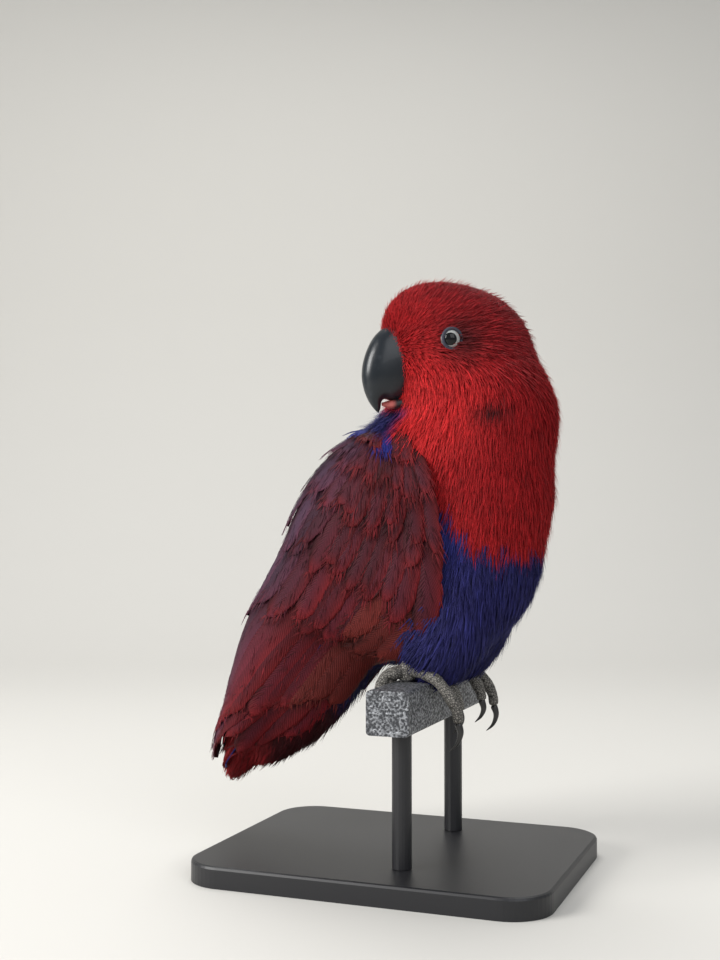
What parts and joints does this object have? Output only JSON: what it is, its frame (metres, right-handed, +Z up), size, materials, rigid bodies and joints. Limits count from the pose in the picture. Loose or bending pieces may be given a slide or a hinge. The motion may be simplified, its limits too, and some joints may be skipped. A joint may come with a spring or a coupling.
{
  "type": "eclectus parrot",
  "caption": "Life-size still display model of a red and blue female parrot perched on a short tube, head turned back over its shoulder, on a plain stand.",
  "frame": {"origin": "centre of the stand's flat underside below the middle of the perch bar, on the floor", "axes": "+Z up, the bird's body faces +X, its left side is +Y, and the perch bar runs along Y"},
  "size_m": [0.2043, 0.15, 0.3104],
  "materials": {
    "plumage_head": "matt scarlet feathers",
    "plumage_neck": "matt scarlet feathers",
    "plumage_body": "matt blue-violet feathers",
    "wing_feathers": "satin maroon flight feathers",
    "tail_feathers": "satin dark red tail feathers",
    "eye": "polished, pale iris and black pupil",
    "bill": "satin slate-black horn",
    "foot_scales": "grey scaly skin",
    "claws": "satin black horn",
    "perch": "hammered grey paint",
    "stand": "plain dark satin paint",
    "stand_base": "dark satin painted wood"
  },
  "bodies": {
    "root": {"head": "plumage_head", "neck": "plumage_neck", "torso": "plumage_body", "thigh_right": "plumage_body", "thigh_left": "plumage_body", "wing_right": "wing_feathers", "wing_left": "wing_feathers", "tail": "tail_feathers", "eye_right": "eye", "eye_left": "eye", "bill_upper": "bill", "bill_lower": "bill", "foot_right": "foot_scales", "foot_left": "foot_scales", "claw_right_outer_front": "claws", "claw_right_inner_front": "claws", "claw_right_outer_back": "claws", "claw_right_inner_back": "claws", "claw_left_outer_front": "claws", "claw_left_inner_front": "claws", "claw_left_outer_back": "claws", "claw_left_inner_back": "claws", "perch_bar": "perch", "stand_base": "stand_base", "stand_rod_right": "stand", "stand_rod_left": "stand"}
  },
  "joints": []
}
